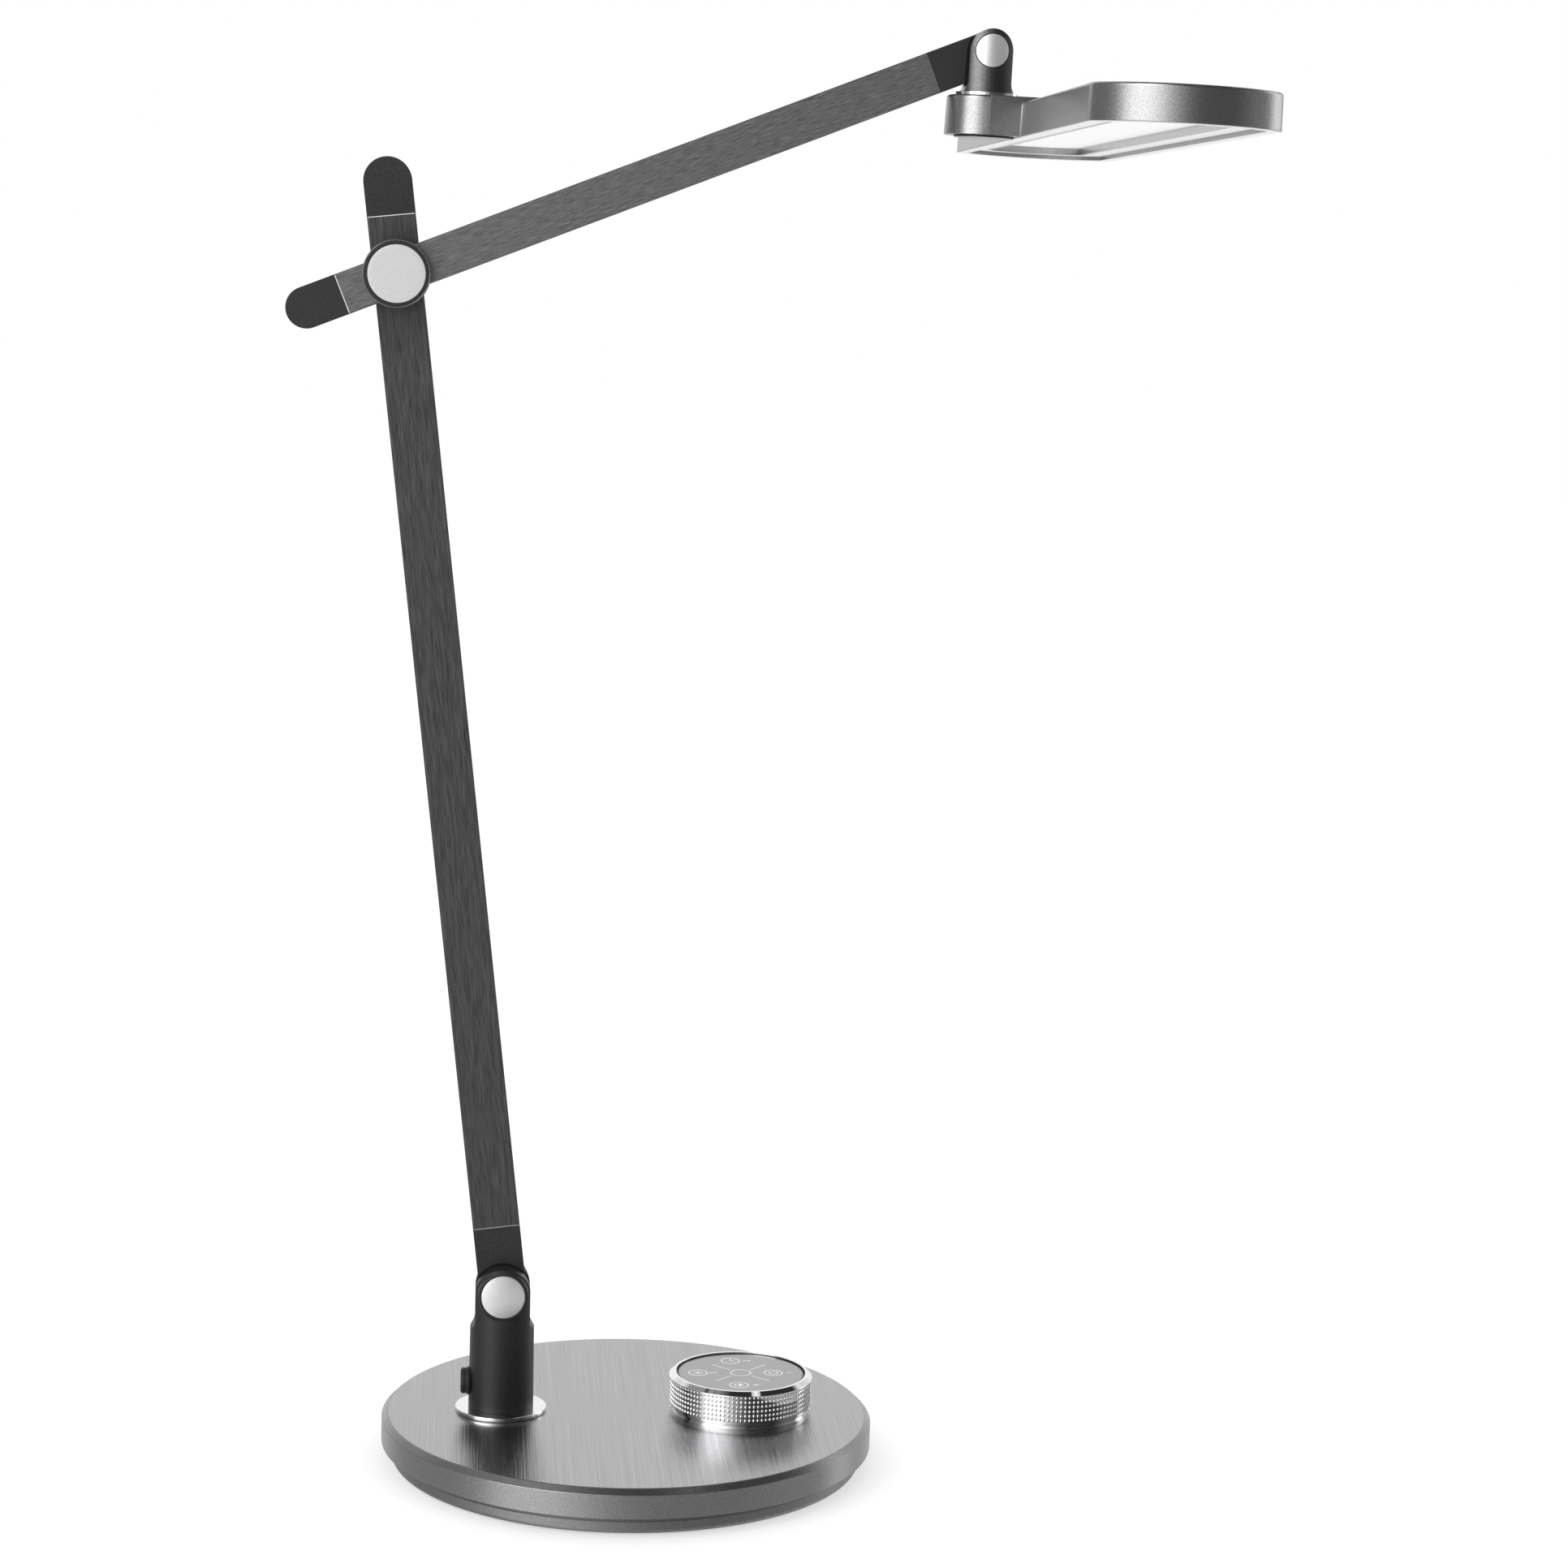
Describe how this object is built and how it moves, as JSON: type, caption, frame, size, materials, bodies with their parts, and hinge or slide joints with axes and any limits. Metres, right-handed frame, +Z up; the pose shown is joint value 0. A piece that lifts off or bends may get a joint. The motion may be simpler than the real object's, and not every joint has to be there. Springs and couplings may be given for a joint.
{
  "type": "led desk lamp",
  "caption": "Desk lamp with a round weighted base, touch dial, swivelling post, two flat jointed arms and a long flat edge-lit head.",
  "frame": {"origin": "centre of the round base, on the surface that it stands on", "axes": "+X from the post to the dial, +Y towards the back, +Z up; both arms move in planes square to Y at rest"},
  "size_m": [0.3502, 0.38, 0.5788],
  "materials": {
    "brushed_plate": "brushed front to back, anodised",
    "grey_paint": "fine metallic grey paint, satin",
    "tray_grey": "grey moulding, satin",
    "black_plastic": "fine grained black moulding",
    "black_metal": "black powder coat, fine texture",
    "pad_rubber": "flat rubber sheet",
    "weight_iron": "plain steel, unpainted",
    "zinc_steel": "zinc plated steel",
    "brass_spacer": "turned brass",
    "board_green": "glass fibre circuit board",
    "touch_grey_glass": "grey back painted glass",
    "bright_chrome": "mirror chrome",
    "silver_cap": "satin silver",
    "dark_bar": "dark anodised, brushed along the bar",
    "head_grey": "metallic grey paint over a moulding",
    "bezel_pale": "pale satin plastic",
    "diffuser_white": "frosted white acrylic",
    "guide_clear": "clear acrylic",
    "reflector_white": "white reflector film",
    "plain_aluminium": "mill finish sheet",
    "led_board_white": "white circuit board with light chips"
  },
  "bodies": {
    "base": {"base_tray": "tray_grey", "foot_pad": "pad_rubber", "base_shell": "grey_paint", "base_top_plate": "brushed_plate", "steel_weight": "weight_iron", "base_screws": "zinc_steel", "dial_screws": "zinc_steel", "control_board": "board_green", "board_spacers": "brass_spacer", "dial_core": "bright_chrome", "glass_carrier": "black_plastic", "touch_board": "board_green", "touch_glass": "touch_grey_glass", "swivel_bush": "black_plastic"},
    "dial": {"dial_ring": "bright_chrome", "dial_magnet": "zinc_steel"},
    "post": {"post": "black_metal", "post_washer": "bright_chrome", "swivel_spigot": "zinc_steel", "swivel_spring": "zinc_steel", "swivel_nut": "zinc_steel", "cord_gland": "black_plastic", "tilt_pin": "zinc_steel", "tilt_cap_front": "silver_cap", "tilt_cap_rear": "silver_cap"},
    "lower_arm": {"lower_bar": "dark_bar", "lower_tongue": "black_plastic", "tilt_washers": "black_plastic", "lower_end_cap": "black_plastic", "elbow_bolt": "zinc_steel", "elbow_spacer": "black_plastic", "elbow_rear_cap": "silver_cap"},
    "upper_arm": {"elbow_knob": "black_plastic", "elbow_disc": "silver_cap", "upper_bar": "dark_bar", "upper_tongue": "black_plastic", "upper_end_cap": "black_plastic", "head_washers": "black_plastic"},
    "bracket": {"head_bracket": "black_metal", "head_pin": "zinc_steel", "head_cap_front": "silver_cap", "head_cap_rear": "silver_cap", "head_stud": "zinc_steel", "head_spring": "zinc_steel", "head_nut": "zinc_steel"},
    "head": {"head_washer": "bright_chrome", "head_bush": "black_plastic", "head_shell": "head_grey", "boss_cover": "head_grey", "head_bezel": "bezel_pale", "window_gasket": "black_plastic", "diffuser": "diffuser_white", "light_guide": "guide_clear", "reflector": "reflector_white", "heat_plate": "plain_aluminium", "led_strips": "led_board_white"}
  },
  "joints": [
    {"name": "base_swivel", "type": "hinge", "parent": "base", "child": "post", "pos_m": [-0.0516, 0, 0.02], "axis": [0, 0, 1], "range_deg": [-90, 90]},
    {"name": "lower_arm_tilt", "type": "hinge", "parent": "post", "child": "lower_arm", "pos_m": [-0.0516, 0, 0.0706], "axis": [0, 1, 0], "range_deg": [-15, 35]},
    {"name": "elbow", "type": "hinge", "parent": "lower_arm", "child": "upper_arm", "pos_m": [-0.09981, -0.011, 0.47856], "axis": [0, -1, 0], "range_deg": [-45, 45]},
    {"name": "head_tilt", "type": "hinge", "parent": "upper_arm", "child": "bracket", "pos_m": [0.12806, -0.011, 0.57044], "axis": [0, -1, 0], "range_deg": [-2, 95]},
    {"name": "head_swivel", "type": "hinge", "parent": "bracket", "child": "head", "pos_m": [0.12806, -0.011, 0.57044], "axis": [0.0255, 0, 0.9997], "range_deg": [-75, 75]},
    {"name": "dial_turn", "type": "hinge", "parent": "base", "child": "dial", "pos_m": [0.0465, 0, 0.02], "axis": [0, 0, 1], "continuous": true}
  ]
}
